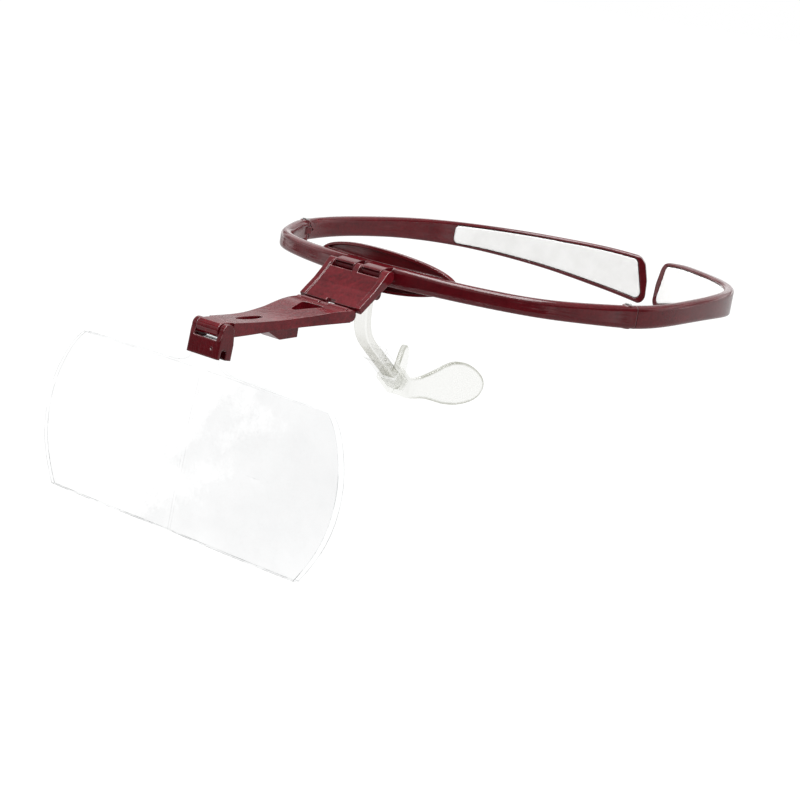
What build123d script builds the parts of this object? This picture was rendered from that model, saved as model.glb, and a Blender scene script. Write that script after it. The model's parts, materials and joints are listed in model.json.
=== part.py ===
from build123d import *
import os
from math import cos, hypot, radians, sin

# Head visor magnifier, in millimetres: a headband with two hinged temples, a twin lens
# on a jointed arm and an adjustable nose piece.
# +Z is up as worn, -Y is forward (the way the wearer looks), +X is the wearer's left.
# The origin is the middle of the brow pad's rear face, the place that touches the forehead.

# ---------------------------------------------------------------- driving sizes
BAND_H = 8.0                    # height of the headband at the temple hinges
BAND_T = 4.2                    # thickness of the headband
BAND_R = 1.7                    # rounding of its section
SEAM_Y = 45.0                   # where the temples meet the front band
SEAM_GAP = 0.3                  # gap at that seam
SIDE_GAP = 0.3                  # sideways play between interlocking knuckles

HINGE_X, HINGE_Y = 74.5, 42.9   # vertical temple hinge axis
EYE_R = 1.9                     # radius of the temple hinge knuckle
TONGUE_H = 2.6                  # height of the temple's tongue between the fork leaves
TONGUE_GAP = 0.15               # play above and below the tongue

PEG_AT = [(13, 0.5), (-13, 0.5)]  # (x, z) of the brow plate's pegs
PEG_R = 1.0

LINK_A = (-11.2, 0.4)           # (y, z) of the link's upper pin
LINK_B = (-26.7, -12.8)         # (y, z) of the elbow pin
LINK_W = 27.0                   # width of the link
PIN_R = 0.9                     # radius of the link, elbow and clip pins
PIN_FIT = 0.05                  # clearance round a pin where it runs loose
BOSS_X = (1.5, 10.3)            # inner and outer end of each brow boss
ELBOW_X = (2.0, 10.3)           # inner and outer end of the link's elbow barrels
# The pins go in from the -X side and stop short of the outer face on the +X side.
LINK_PIN_X = (-13.2, 12.4)
ELBOW_PIN_X = (-12.0, 11.2)
CLIP_PIN_X = (-6.85, 6.2)

CLIP_C = (-80.2, -18.3)         # (y, z) of the clip pin
CLIP_TILT = radians(-4.95)      # the clip and lens lean, bottom edge forward
CLIP_W = 14.0
EAR_GAP = 10.0                  # width between the clip's ears
SLOT_FRONT, SLOT_BACK = -1.25, 1.35  # faces of the lens slot, from the clip pin
SLOT_T = SLOT_BACK - SLOT_FRONT
SLOT_MID = (SLOT_FRONT + SLOT_BACK) / 2

STEM_P = (-6.0, -7.4)           # (y, z) of the nose stem's pivot
STEM_W, STEM_D = 5.7, 3.0
LUG_X = (STEM_W / 2 + 0.2, 5.1)  # inner and outer face of each stem lug
STEM_PIN_R = 0.8
SOCK_O = (4.0, -29.2)           # (y, z) of the mouth of the nose socket
SOCK_A = radians(-36.5)         # slope of the socket
SOCK_L = 20.0
SOCK_W, SOCK_D, SOCK_R = 7.6, 5.0, 1.0  # socket section and its corner radius

# Outer face of the headband in plan (x, y), +X half, from the brow to the temple tip.
# The index of a point is its station.
OUTER = [
    (0.0, -7.8), (11.4, -6.8), (22.7, -4.3), (33.3, -1.0), (43.6, 3.0), (53.4, 8.1),
    (61.3, 15.0), (67.8, 24.2), (73.8, 34.8), (78.2, 46.6), (80.1, 59.4), (79.8, 72.6),
    (78.3, 85.7), (76.2, 98.5), (73.2, 111.1), (68.9, 123.5), (62.9, 135.1),
    (55.1, 145.4), (45.9, 154.1), (36.2, 161.3), (27.0, 168.0), (17.3, 175.3), (7.3, 181.3),
]


# ---------------------------------------------------------------- helpers
def tangent(points, i):
    """Unit direction of the curve at point i; along +X at the middle of the brow."""
    if i == 0:
        return 1.0, 0.0
    before, after = points[i - 1], points[min(i + 1, len(points) - 1)]
    dx, dy = after[0] - before[0], after[1] - before[1]
    length = hypot(dx, dy)
    return dx / length, dy / length


def offset_points(points, depth):
    """Points moved towards the inside of the ring by depth along the curve's normal."""
    moved = []
    for i, (x, y) in enumerate(points):
        tx, ty = tangent(points, i)
        moved.append((x - depth * ty, y + depth * tx))
    return moved


def flipped(points):
    """The same points on the other side of the middle."""
    return [(-x, y) for x, y in points]


def both_sides(inner, outer):
    """The two x ranges from inner to outer, -X side first."""
    return (-outer, -inner), (inner, outer)


def at_hinges(inward=0.0, rearward=0.0):
    """The two hinge axes in plan, moved towards the middle and to the rear."""
    x, y = HINGE_X - inward, HINGE_Y + rearward
    return [(x, y), (-x, y)]


def yz(x):
    """A plane across the object at x, with local x along +Y and local y up."""
    return Plane(origin=(x, 0, 0), x_dir=(0, 1, 0), z_dir=(1, 0, 0))


def forward(y):
    """An upright plane at y that faces forward, with local x along +X and local y up."""
    return Plane(origin=(0, y, 0), x_dir=(1, 0, 0), z_dir=(0, -1, 0))


def tilted(x):
    """As yz, but centred on the clip pin and leaning with the lens."""
    return Plane(origin=(x, *CLIP_C), x_dir=(0, cos(CLIP_TILT), sin(CLIP_TILT)),
                 z_dir=(1, 0, 0))


def tilted_forward(depth):
    """As forward, but leaning with the lens, depth behind the clip pin."""
    lean_y, lean_z = cos(CLIP_TILT), sin(CLIP_TILT)
    return Plane(origin=(0, CLIP_C[0] + depth * lean_y, CLIP_C[1] + depth * lean_z),
                 x_dir=(1, 0, 0), z_dir=(0, -lean_y, -lean_z))


def upright_section(x, y, tx, ty, low, high, side=1):
    """Plane across the +X band path at (x, y), direction (tx, ty); side -1 mirrors it."""
    return Plane(origin=(side * x, y, (low + high) / 2), x_dir=(side * ty, -tx, 0),
                 z_dir=(tx, side * ty, 0))


def make_pin(centre, radius, x_range, bevel):
    """A round pin along X with bevelled ends; centre is (y, z)."""
    x0, x1 = x_range
    with BuildPart() as pin:
        with BuildSketch(yz(x0)):
            with Locations(centre):
                Circle(radius)
        extrude(amount=x1 - x0)
        chamfer(pin.edges().filter_by(GeomType.CIRCLE), bevel)
    return pin.part


# ---------------------------------------------------------------- front band
# (top, bottom) edge heights of the front band at stations 0 to 10.
BAND_Z = [
    (3.4, -3.7), (3.4, -3.7), (3.1, -3.6), (2.8, -3.6), (2.7, -3.6), (2.7, -3.6),
    (2.8, -3.7), (3.1, -3.8), (3.6, -3.9), (4.0, -4.0), (4.2, -3.8),
]
# (y, z) side outline of the brow boss.
BOSS = [
    (-5.8, 3.35), (-9.4, 3.2), (-12.4, 2.35), (-12.95, 1.75), (-13.1, 0.9),
    (-13.1, -0.2), (-12.3, -1.25), (-10.9, -1.7), (-5.8, -1.9),
]
BOSS_WALL = 0.4                 # end wall of each boss, beside its open front
BARREL_R = 1.45                 # barrel that stands in the open front
LUG_R = 1.9


def band_section(i):
    """Plane across the middle of the +X half of the front band at station i."""
    x, y = offset_points(OUTER, BAND_T / 2)[i]
    top, bottom = BAND_Z[i]
    return upright_section(x, y, *tangent(OUTER, i), bottom, top)


def make_front_band():
    with BuildPart() as band:
        for i, (top, bottom) in enumerate(BAND_Z):
            with BuildSketch(band_section(i)):
                RectangleRounded(BAND_T, top - bottom, BAND_R)
        loft()
        mirror(about=Plane.YZ)
        # Square the two ends off at the temple seams.
        with BuildSketch(Plane.XY.offset(-20)):
            with Locations((0, SEAM_Y - SEAM_GAP / 2 + 20)):
                Rectangle(200, 40)
        extrude(amount=40, mode=Mode.SUBTRACT)
        # Round knuckle of each temple hinge, bulging to the inside of the ring.
        with BuildSketch(Plane.XY.offset(-BAND_H / 2)):
            with Locations(*at_hinges()):
                Circle(EYE_R)
        extrude(amount=BAND_H)
        # Slot for the temple's tongue.
        with BuildSketch(Plane.XY.offset(-TONGUE_H / 2 - TONGUE_GAP)):
            with Locations(*at_hinges()):
                Circle(EYE_R + 0.12)
            with Locations(*at_hinges(inward=3, rearward=0.8)):
                Rectangle(6, 6)
            with Locations(*at_hinges(rearward=2)):
                Rectangle(3.7, 4)
        extrude(amount=TONGUE_H + 2 * TONGUE_GAP, mode=Mode.SUBTRACT)
        with Locations(*at_hinges()):
            Cylinder(0.8, 20, mode=Mode.SUBTRACT)
        # Brow bosses with open-fronted bearings for the upper link pin.
        for x0, x1 in both_sides(*BOSS_X):
            with BuildSketch(yz(x0)):
                with BuildLine():
                    Polyline(*BOSS, close=True)
                make_face()
            extrude(amount=x1 - x0)
        # Open front of each bearing, with a round barrel standing in it.
        for x0, x1 in both_sides(BOSS_X[0] + BOSS_WALL, BOSS_X[1] - BOSS_WALL):
            with BuildSketch(yz(x0)):
                with Locations(LINK_A):
                    Circle(2.05)
                with Locations((LINK_A[0] - 2.0, LINK_A[1] - 0.3)):
                    Rectangle(4.0, 3.3)
                with Locations(LINK_A):
                    Circle(BARREL_R, mode=Mode.SUBTRACT)
                with Locations((LINK_A[0] + 3.1, LINK_A[1])):
                    Rectangle(6.0, 8.0, mode=Mode.SUBTRACT)
            extrude(amount=x1 - x0, mode=Mode.SUBTRACT)
        # Two lugs under the brow for the nose stem.
        for x0, x1 in both_sides(*LUG_X):
            with BuildSketch(yz(x0)):
                with Locations(STEM_P):
                    Circle(LUG_R)
                with Locations((STEM_P[0], STEM_P[1] + 2.2)):
                    Rectangle(2 * LUG_R, 4.4)
            extrude(amount=x1 - x0)
        # Bores for the upper link pin and the stem pin.
        for centre, radius, reach in ((LINK_A, PIN_R, 11), (STEM_P, STEM_PIN_R, 6)):
            with BuildSketch(yz(-reach)):
                with Locations(centre):
                    Circle(radius)
            extrude(amount=2 * reach, mode=Mode.SUBTRACT)
        # Peg holes for the brow plate.
        with BuildSketch(forward(0)):
            with Locations(*PEG_AT):
                Circle(PEG_R + 0.05)
        extrude(amount=4.2, mode=Mode.SUBTRACT)
    return band.part


# ---------------------------------------------------------------- brow plate and pad
# Depths of the brow layers behind the outer face of the band.
PLATE_FRONT = BAND_T + 0.03
DISH_BACK = BAND_T + 1.0
PLATE_BACK = BAND_T + 2.0
PAD_FRONT = PLATE_BACK + 0.06
PAD_BACK = BAND_T + 3.6
OVAL_Z = 0.6                    # height of the middle of the brow ovals


def brow_curve(depth):
    """Plan curve across the whole brow, depth behind the outer face of the band."""
    half = offset_points(OUTER, depth)[:5]
    return flipped(half[:0:-1]) + half


def bent_slab(front, back):
    """A tall slab that follows the brow between two depths."""
    with BuildPart() as slab:
        with BuildSketch(Plane.XY.offset(-12)):
            with BuildLine():
                front_edge = Spline(*brow_curve(front))
                back_edge = Spline(*brow_curve(back))
                Line(front_edge @ 0, back_edge @ 0)
                Line(front_edge @ 1, back_edge @ 1)
            make_face()
        extrude(amount=24)
    return slab.part


def brow_oval(front, back, half_width, half_height, strip=None):
    """A bent slab cut to an oval, less a strip of the given height across its middle."""
    slab = bent_slab(front, back)
    with BuildPart() as oval:
        add(slab)
        with BuildSketch(forward(20)):
            with Locations((0, OVAL_Z)):
                Ellipse(half_width, half_height)
            if strip:
                Rectangle(80, strip, mode=Mode.SUBTRACT)
        extrude(amount=40, mode=Mode.INTERSECT)
    return oval.part


def make_brow_plate():
    oval = brow_oval(PLATE_FRONT, PLATE_BACK, 30.3, 7.4)
    dish = brow_oval(BAND_T - 0.6, DISH_BACK, 28.9, 6.3, strip=6.2)
    behind = bent_slab(PLATE_BACK, BAND_T + 8.0)
    with BuildPart() as plate:
        add(oval)
        # Dished front above and below the band, leaving a thin rim.
        add(dish, mode=Mode.SUBTRACT)
        # Pegs, trimmed flush with the rear face.
        with BuildSketch(forward(0)):
            with Locations(*PEG_AT):
                Circle(PEG_R)
        extrude(amount=4.0)
        add(behind, mode=Mode.SUBTRACT)
    return plate.part


def make_brow_pad():
    return brow_oval(PAD_FRONT, PAD_BACK, 28.4, 6.2)


# ---------------------------------------------------------------- temples
# Plan points and edge heights at stations 0 to 23. The temple starts at station 8.
PATH = OUTER + [(-0.9, 185.0)]
LAST = len(PATH) - 1
TOPS = [4.0] * 10 + [4.5, 5.1, 5.6, 6.0, 6.3, 6.4, 6.4, 6.4, 6.4, 6.3, 6.1, 5.5, 4.4, 3.9]
BOTTOMS = [-4.0] * 10 + [-3.4, -2.7, -2.3, -2.2, -2.5, -3.1, -4.0, -5.2, -6.6, -8.2,
                         -10.2, -12.5, -14.9, -16.4]
END_DIR = (-0.88, 0.475)        # direction of the paddle's end in plan
# Rounded, slightly slanted end profiles of the temple and of its pad:
# (distance past the last point of OUTER, height, corner radius).
TEMPLE_END = [(1.0, 4.2, 6.0), (3.6, -5.5, 9.0), (4.2, -15.6, 3.4)]
PAD_END = [(-1.9, 2.9, 2.6), (2.4, -13.4, 2.2)]
PAD_START = 15.27               # station where the temple pad starts
PAD_START_R = 1.8               # rounding of the pad's front end
STATIONS_PER_MM = 1 / 13.0
POCKET_GAP = 0.3                # play round the pad in its pocket


def smooth(values, q):
    """Value at a fractional station, through its four neighbours."""
    i = min(int(q), len(values) - 2)
    f = q - i
    p0, p1, p2, p3 = (values[max(0, min(len(values) - 1, i + k))] for k in (-1, 0, 1, 2))
    return 0.5 * (2 * p1 + (p2 - p0) * f + (2 * p0 - 5 * p1 + 4 * p2 - p3) * f * f
                  + (3 * p1 - p0 - 3 * p2 + p3) * f ** 3)


def path_point(q):
    """Plan point of the temple's outer face at a fractional station."""
    return smooth([x for x, y in PATH], q), smooth([y for x, y in PATH], q)


def temple_section(q, side, depth, low, high):
    """Plane across the temple at station q, depth inside its outer face."""
    step = 0.05
    x, y = path_point(q)
    before, after = path_point(q - step), path_point(min(q + step, LAST))
    tx, ty = after[0] - before[0], after[1] - before[1]
    length = hypot(tx, ty)
    tx, ty = tx / length, ty / length
    return upright_section(x - depth * ty, y + depth * tx, tx, ty, low, high, side)


def thickness(q):
    """The temple thins from the hinge to a flat paddle."""
    return BAND_T - 0.5 * min(1.0, max(0.0, (q - 12) / 6))


def end_cutter(side, profile, grow=0.0):
    """What lies beyond a rounded end profile, moved out by grow."""
    x, y = OUTER[-1]
    end_x, end_y = END_DIR
    plane = Plane(origin=(side * x, y, 0), x_dir=(side * end_x, end_y, 0),
                  z_dir=(end_y, -side * end_x, 0))
    corners = [(d + grow, z + (grow if z > 0 else -grow if z < -10 else 0), r + grow)
               for d, z, r in profile]
    with BuildSketch() as kept:
        with BuildLine():
            Polyline((-8, corners[0][1] + 1.3), *[(d, z) for d, z, _ in corners],
                     (-8, corners[-1][1] + 1.5), close=True)
        make_face()
        for d, z, r in corners:
            fillet(kept.vertices().filter_by(lambda v: hypot(v.X - d, v.Y - z) < 0.01), r)
    with BuildPart() as cutter:
        with BuildSketch(plane):
            with Locations((3.0, -4)):
                Rectangle(14, 34)
            add(kept.sketch, mode=Mode.SUBTRACT)
            # Only what lies beyond the end, not above or below the paddle.
            with Locations((-12.0, -4)):
                Rectangle(17, 60, mode=Mode.SUBTRACT)
        extrude(amount=8, both=True)
    return cutter.part


def temple_body(side):
    """Body, tongue and hinge eye of one temple, without its pad pocket."""
    beyond = end_cutter(side, TEMPLE_END)
    with BuildPart() as body:
        for q in range(8, LAST + 1):
            low, high = BOTTOMS[q], TOPS[q]
            radius = BAND_R if q < 11 else max(1.15, BAND_R - 0.12 * (q - 10))
            with BuildSketch(temple_section(q, side, thickness(q) / 2, low, high)):
                RectangleRounded(thickness(q), high - low, radius)
        loft()
        # Square the front end off at the seam.
        with BuildSketch(Plane.XY.offset(-20)):
            with Locations((0, SEAM_Y + SEAM_GAP / 2 - 20)):
                Rectangle(200, 40)
        extrude(amount=40, mode=Mode.SUBTRACT)
        # Tongue and eye of the hinge.
        with BuildSketch(Plane.XY.offset(-TONGUE_H / 2)):
            with Locations((side * HINGE_X, HINGE_Y)):
                Circle(EYE_R - 0.05)
            with Locations((side * (HINGE_X - 0.1), HINGE_Y + 1.5)):
                Rectangle(3.4, 3.0)
        extrude(amount=TONGUE_H)
        with Locations((side * HINGE_X, HINGE_Y, 0)):
            Cylinder(0.85, 20, mode=Mode.SUBTRACT)
        # Arrow-shaped relief on the inner face, pointing rearward from the hinge.
        with BuildSketch(Plane(origin=(side * (HINGE_X - 3.0), SEAM_Y, 0),
                               x_dir=(0, 1, 0), z_dir=(side, 0, 0))):
            with BuildLine():
                Polyline((0.4, 1.9 * side), (3.4, 0), (0.4, -1.9 * side), close=True)
            make_face()
        extrude(amount=3.2, mode=Mode.SUBTRACT)
        add(beyond, mode=Mode.SUBTRACT)
    return body.part


def pad_section(q, side, sunk, proud, grow, shrink=0.0):
    """Section of the temple pad at station q."""
    along = (q - 15) / 7
    high = smooth(TOPS, q) - 1.3 - 0.4 * along + grow - shrink
    low = smooth(BOTTOMS, q) + 1.15 + 0.75 * along - grow + shrink
    depth = thickness(q) + (proud - sunk) / 2
    with BuildSketch(temple_section(q, side, depth, low, high)) as section:
        Rectangle(sunk + proud, high - low)
    return section.sketch


def pad_solid(side, grow, sunk, proud):
    """The temple pad, from sunk below the inner face to proud above it.

    grow widens it for the pocket.
    """
    radius = PAD_START_R + grow
    start_q = PAD_START - grow * STATIONS_PER_MM
    full_q = start_q + radius * STATIONS_PER_MM
    beyond = end_cutter(side, PAD_END, grow)
    with BuildPart() as start:
        for degrees in (0, 22, 45, 68, 90):
            angle = radians(degrees)
            q = start_q + radius * STATIONS_PER_MM * (1 - cos(angle))
            add(pad_section(q, side, sunk, proud, grow, radius * (1 - sin(angle))))
        loft(ruled=True)
    with BuildPart() as pad:
        for q in (full_q, 16, 17, 18, 19, 20, 21, 22, 22.6):
            add(pad_section(q, side, sunk, proud, grow))
        loft()
        add(start.part)
        add(beyond, mode=Mode.SUBTRACT)
    return pad.part


def make_temple(side):
    body = temple_body(side)
    pocket = pad_solid(side, grow=POCKET_GAP, sunk=1.1, proud=2.0)
    with BuildPart() as temple:
        add(body)
        add(pocket, mode=Mode.SUBTRACT)
    return temple.part


def make_temple_pad(side):
    return pad_solid(side, grow=0.0, sunk=1.0, proud=0.12)


def make_hinge_screw(side):
    """Slotted cheese-head screw down the hinge axis."""
    axis = (side * HINGE_X, HINGE_Y)
    with BuildPart() as screw:
        with BuildSketch(Plane.XY.offset(-3.6)):
            with Locations(axis):
                Circle(0.78)
        extrude(amount=7.8)
        with BuildSketch(Plane.XY.offset(BAND_H / 2 + 0.01)):
            with Locations(axis):
                Circle(1.25)
        extrude(amount=0.5)
        with BuildSketch(Plane.XY.offset(BAND_H / 2 + 0.28)):
            with Locations(axis):
                Rectangle(3.4, 0.4, rotation=35)
        extrude(amount=1.0, mode=Mode.SUBTRACT)
    return screw.part


# ---------------------------------------------------------------- lens link
# (y, z) side outlines of the link's plate, of the cutter for its front panel and of the
# webs that carry the elbow barrels.
LINK_SIDE = [
    (-12.72, 1.85), (-15.9, -1.9), (-18.6, -4.75), (-24.9, -10.15), (-23.7, -12.05),
    (-17.9, -7.4), (-10.6, -1.6), (-9.6, -0.95), (-10.2, 1.3),
]
LINK_PANEL = [
    (-11.77, 5.34), (-13.82, -0.01), (-18.57, -5.21), (-24.57, -10.41), (-27, -9), (-20, 4),
]
ELBOW_WEB = [(-24.9, -11.1), (-23.4, -11.9), (-25.6, -14.15), (-27.2, -12.9)]
PANEL_W = 22.8
NOTCH_W = 3.8


def make_lens_link():
    with BuildPart() as link:
        with BuildSketch(yz(-LINK_W / 2)):
            with BuildLine():
                Polyline(*LINK_SIDE, close=True)
            make_face()
            with Locations(LINK_A):
                Circle(2.1)
        extrude(amount=LINK_W)
        # Shallow panel between the side ribs on the front face.
        with BuildSketch(yz(-PANEL_W / 2)):
            with BuildLine():
                Polyline(*LINK_PANEL, close=True)
            make_face()
        extrude(amount=PANEL_W, mode=Mode.SUBTRACT)
        # Windows that the band's bearings reach into.
        for x0, x1 in both_sides(BOSS_X[0] - SIDE_GAP, BOSS_X[1] + SIDE_GAP):
            with BuildSketch(yz(x0)):
                with Locations(LINK_A):
                    Circle(2.9)
                with Locations((LINK_A[0] + 2.5, LINK_A[1] + 1.2)):
                    Rectangle(5.0, 6.0)
            extrude(amount=x1 - x0, mode=Mode.SUBTRACT)
        # Barrels of the elbow and the webs that carry them.
        for x0, x1 in both_sides(*ELBOW_X):
            with BuildSketch(yz(x0)):
                with Locations(LINK_B):
                    Circle(2.2)
                with BuildLine():
                    Polyline(*ELBOW_WEB, close=True)
                make_face()
            extrude(amount=x1 - x0)
        # Small notch at the middle of the lower edge.
        with BuildSketch(yz(-NOTCH_W / 2)):
            with Locations(LINK_B):
                Circle(4.3)
        extrude(amount=NOTCH_W, mode=Mode.SUBTRACT)
        # Pin bores, closed on the +X side.
        with BuildSketch(yz(-20)):
            with Locations(LINK_A):
                Circle(PIN_R + PIN_FIT)
            with Locations(LINK_B):
                Circle(PIN_R + PIN_FIT)
        extrude(amount=20 + LINK_PIN_X[1] + 0.1, mode=Mode.SUBTRACT)
    return link.part


# ---------------------------------------------------------------- lens arm
# (half width, y) plan outline of the arm, from the elbow forward.
ARM_PLAN = [
    (12.3, -22.0), (12.1, -29.0), (11.7, -33.0), (10.8, -38.0), (9.8, -43.0), (8.6, -48.0),
    (7.8, -53.0), (6.9, -58.0), (6.3, -63.0), (5.9, -69.0), (5.6, -76.2),
]
# (y, z) upper and lower edges of the arm's side, from the elbow forward.
ARM_TOP = [
    (-27.2, -11.15), (-33.0, -11.45), (-38.0, -12.1), (-43.0, -13.0), (-48.0, -13.8),
    (-53.0, -14.5), (-58.0, -15.05), (-63.0, -15.4), (-70.0, -15.6), (-78.2, -15.75),
]
ARM_LOW = [
    (-26.9, -15.1), (-39.0, -16.05), (-50.0, -17.4), (-59.0, -18.6), (-74.0, -20.2),
    (-77.5, -20.45),
]
ARM_TIP = 2.44                  # half height of the arm's side at the clip pin
# (y, z) bevel of the arm's upper edge in front of the elbow, and the block under the arm.
ELBOW_BEVEL = [(-26.5, -9.0), (-26.5, -12.8), (-28.4, -10.9), (-28.6, -10.2), (-28.6, -9.0)]
STOP_BLOCK = [(-60.2, -18.2), (-51.6, -22.2), (-43.2, -21.5), (-43.2, -16.0), (-60.2, -17.6)]
STOP_W = 8.0


def make_lens_arm():
    tip_top = (CLIP_C[0], CLIP_C[1] + ARM_TIP)
    tip_low = (CLIP_C[0], CLIP_C[1] - ARM_TIP)
    barrel_half = EAR_GAP / 2 - SIDE_GAP
    barrel_y = ARM_PLAN[-1][1]
    with BuildPart() as arm:
        # Side profile, extruded across, then cut to the waisted plan shape.
        with BuildSketch(yz(-15)):
            with BuildLine():
                top = Spline(*ARM_TOP)
                low = Spline(*ARM_LOW)
                Line(top @ 0, low @ 0)
                Line(top @ 1, tip_top)
                Line(tip_top, tip_low)
                Line(tip_low, low @ 1)
            make_face()
            with Locations(LINK_B):
                Circle(2.0)
            with Locations(CLIP_C):
                Circle(2.45)
        extrude(amount=30)
        with BuildSketch(Plane.XY.offset(-40)):
            with BuildLine():
                left = Spline(*ARM_PLAN)
                right = Spline(*flipped(ARM_PLAN))
                Line(left @ 0, right @ 0)
                Polyline(left @ 1, (barrel_half, barrel_y), (barrel_half, -84),
                         (-barrel_half, -84), (-barrel_half, barrel_y), right @ 1)
            make_face()
        extrude(amount=60, mode=Mode.INTERSECT)
        # Gaps in the elbow for the link's two barrels.
        for x0, x1 in both_sides(ELBOW_X[0] - SIDE_GAP, ELBOW_X[1] + SIDE_GAP):
            with BuildSketch(yz(x0)):
                with Locations(LINK_B):
                    Circle(2.5)
                with Locations((LINK_B[0] + 4, LINK_B[1] + 0.2)):
                    Rectangle(8, 8)
                # The upper edge is bevelled to let the webs past.
                with BuildLine():
                    Polyline(*ELBOW_BEVEL, close=True)
                make_face()
            extrude(amount=x1 - x0, mode=Mode.SUBTRACT)
        # Rounded triangular hole and the long slot through the arm.
        with BuildSketch(Plane.XY.offset(-40)):
            with BuildLine():
                Polyline((0, -45.4), (5.0, -32.1), (-5.0, -32.1), close=True)
            make_face()
            fillet(vertices(), 1.4)
        extrude(amount=60, mode=Mode.SUBTRACT)
        with BuildSketch(Plane.XY.offset(-40)):
            with Locations((0, -63.6)):
                Ellipse(1.9, 6.1)
        extrude(amount=60, mode=Mode.SUBTRACT)
        # Stop block under the arm, with its front bevelled.
        with BuildSketch(yz(-STOP_W / 2)):
            with BuildLine():
                Polyline(*STOP_BLOCK, close=True)
            make_face()
        extrude(amount=STOP_W)
        # Bores for the elbow pin and the clip pin.
        with BuildSketch(yz(-20)):
            with Locations(LINK_B):
                Circle(PIN_R)
            with Locations(CLIP_C):
                Circle(PIN_R + PIN_FIT)
        extrude(amount=20 + ELBOW_PIN_X[1], mode=Mode.SUBTRACT)
    return arm.part


# ---------------------------------------------------------------- lens clip
# Side outline of the clip, (rearward, up) from the clip pin in the leaning plane.
CLIP_SIDE = [(-2.4, -9.1), (-2.45, -3.4), (-1.9, -0.5), (3.1, 0.0), (3.85, -4.0), (3.9, -9.1)]
FRONT_EDGE = 5.7                # length of the front wall's upright corner edges


def make_lens_clip():
    with BuildPart() as clip:
        with BuildSketch(tilted(-CLIP_W / 2)):
            with BuildLine():
                Polyline(*CLIP_SIDE, close=True)
            make_face()
            with Locations((0.55, -0.15)):
                Circle(2.55)
        extrude(amount=CLIP_W)
        # Room for the arm's barrel between the ears, open at the front, back and top.
        with BuildSketch(tilted(-EAR_GAP / 2)):
            with Locations((0, 1.7)):
                Rectangle(14, 9.9)
        extrude(amount=EAR_GAP, mode=Mode.SUBTRACT)
        # Lens slot, open downwards, rounded at its top.
        with BuildSketch(tilted(-CLIP_W)):
            with Locations((SLOT_MID, -10.0)):
                Rectangle(SLOT_T, 6.0)
            with Locations((SLOT_MID, -7.0)):
                Circle(SLOT_T / 2)
        extrude(amount=2 * CLIP_W, mode=Mode.SUBTRACT)
        # The slot runs up into the room between the ears.
        with BuildSketch(tilted(-EAR_GAP / 2)):
            with Locations((SLOT_MID, -7.0)):
                Rectangle(SLOT_T, 9.0)
        extrude(amount=EAR_GAP, mode=Mode.SUBTRACT)
        # Pin bore, closed on the +X side.
        with BuildSketch(tilted(-CLIP_W)):
            Circle(PIN_R)
        extrude(amount=CLIP_W + CLIP_PIN_X[1], mode=Mode.SUBTRACT)
        # Soft corners round the front wall.
        for side in (1, -1):
            fillet(clip.edges().filter_by(
                lambda e: abs(e.length - FRONT_EDGE) < 0.06
                and abs((e @ 0.5).X - side * CLIP_W / 2) < 0.01
                and (e @ 0.5).Y < CLIP_C[0] - 1.0), 0.7)
        # Small round dimple in the front wall.
        with BuildSketch(tilted_forward(-2.12)):
            with Locations((3.6, -6.1)):
                Circle(0.45)
        extrude(amount=4.0, mode=Mode.SUBTRACT)
    return clip.part


# ---------------------------------------------------------------- lens
# Twin lens: two shallow domes that meet in a seam at the middle. Points are (x, up) from
# the clip pin in the leaning plane.
LENS_T = 2.2                    # thickness of the flat plate
DOME_R = 460.0                  # radius of each dome
DOME_AT = (33.0, -40.5)         # middle of the +X dome
DOME_RISE = 1.85                # height of the dome above the plate's front face
LENS_BACK = tilted_forward(SLOT_MID + LENS_T / 2)
# Outer edge of the +X half, from the top corner down.
LENS_EDGE = [
    (54.6, -13.9), (58.4, -18.0), (62.2, -25.6), (64.4, -33.4), (64.9, -41.0),
    (64.1, -48.2), (62.2, -54.6), (59.4, -60.4), (55.4, -66.8),
]
LENS_CORNER, LENS_FOOT = LENS_EDGE[0], LENS_EDGE[-1]
# Stepped tab that goes up into the clip, and the curve from it to the top edge.
LENS_TAB = [
    (-6.8, -9.6), (-6.8, -6.4), (-4.6, -6.4), (-4.6, -2.9),
    (4.6, -2.9), (4.6, -6.4), (6.8, -6.4), (6.8, -9.6),
]
TAB_CURVE = [(6.8, -9.6), (8.0, -11.6), (12.4, -12.9)]


def lens_dome():
    """The +X dome with the front half of the plate under it."""
    front = LENS_BACK.offset(LENS_T)
    with BuildPart() as dome:
        with BuildSketch(front):
            with BuildLine():
                Polyline((0, LENS_FOOT[1]), (0, -13.6), (12.4, -13.6), LENS_CORNER)
                Spline(*LENS_EDGE)
                Line(LENS_FOOT, (0, LENS_FOOT[1]))
            make_face()
        extrude(amount=4.0, both=True)
        with Locations(front.offset(DOME_RISE - DOME_R)):
            with Locations((*DOME_AT, 0)):
                Sphere(DOME_R, mode=Mode.INTERSECT)
        # Keep only what stands in front of the middle of the plate.
        with BuildSketch(LENS_BACK.offset(LENS_T / 2)):
            Rectangle(300, 300)
        extrude(amount=-30, mode=Mode.SUBTRACT)
    return dome.part


def make_lens_plate():
    dome = lens_dome()
    with BuildPart() as plate:
        with BuildSketch(LENS_BACK):
            with BuildLine():
                Polyline(*LENS_TAB)
                Spline(*TAB_CURVE, tangents=((0, -1), (1, 0)))
                Line(TAB_CURVE[-1], LENS_CORNER)
                Spline(*LENS_EDGE)
                Line(LENS_FOOT, (-LENS_FOOT[0], LENS_FOOT[1]))
                Spline(*flipped(LENS_EDGE))
                Line(*flipped([TAB_CURVE[-1], LENS_CORNER]))
                Spline(*flipped(TAB_CURVE), tangents=((0, -1), (-1, 0)))
            make_face()
        extrude(amount=LENS_T)
        add(dome)
        mirror(dome, about=Plane.YZ)
    return plate.part


# ---------------------------------------------------------------- nose piece
SOCK_DIR = (cos(SOCK_A), sin(SOCK_A))  # (y, z) direction down the socket
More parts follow.
